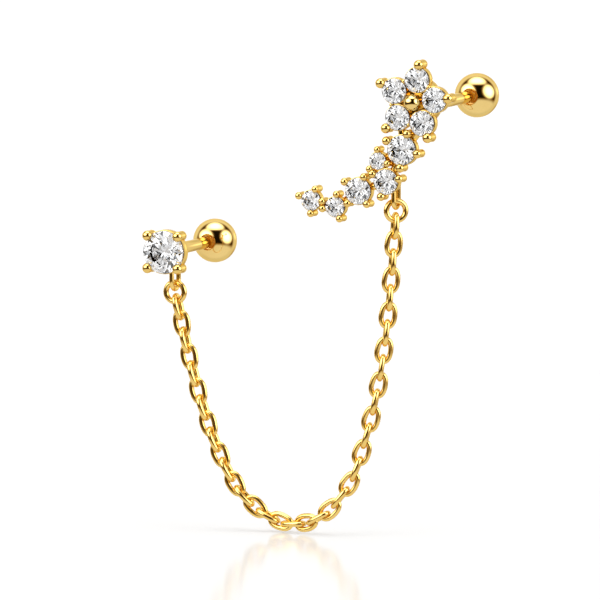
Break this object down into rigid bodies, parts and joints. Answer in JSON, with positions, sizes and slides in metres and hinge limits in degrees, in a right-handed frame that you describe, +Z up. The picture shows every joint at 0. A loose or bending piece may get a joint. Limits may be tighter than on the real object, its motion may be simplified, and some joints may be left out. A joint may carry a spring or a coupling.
{
  "type": "ear chain earring",
  "caption": "Ear chain earring: a flower and trail of clear stones on one post and a round stone stud on another, joined by a hanging cable chain, with screw-on ball backs.",
  "frame": {"origin": "on the axis of the cluster's post, at the back face of the flower's plate, where the front of the ear bears", "axes": "-Y to the front, where the stones face; +Y along both posts, towards the screw balls; +Z up as it hangs when worn; +X to the right as seen from the front"},
  "size_m": [0.0223, 0.0111, 0.0322],
  "materials": {
    "gold": "mirror-polished yellow gold plate",
    "stone": "clear brilliant-cut cubic zirconia"
  },
  "bodies": {
    "earring": {"cluster_setting": "gold", "petal_stone_1": "stone", "petal_stone_2": "stone", "petal_stone_3": "stone", "petal_stone_4": "stone", "petal_stone_5": "stone", "trail_stone_1": "stone", "trail_stone_2": "stone", "trail_stone_3": "stone", "trail_stone_4": "stone", "trail_stone_5": "stone", "trail_stone_6": "stone", "cluster_jump_ring": "gold", "chain": "gold", "lobe_jump_ring": "gold", "lobe_setting": "gold", "lobe_stone": "stone"},
    "cluster_ball": {"cluster_ball": "gold"},
    "lobe_ball": {"lobe_ball": "gold"}
  },
  "joints": [
    {"name": "cluster_ball_off", "type": "slide", "parent": "earring", "child": "cluster_ball", "axis": [0, 1, 0], "range_m": [0, 0.008]},
    {"name": "lobe_ball_off", "type": "slide", "parent": "earring", "child": "lobe_ball", "axis": [0, 1, 0], "range_m": [0, 0.008]}
  ]
}
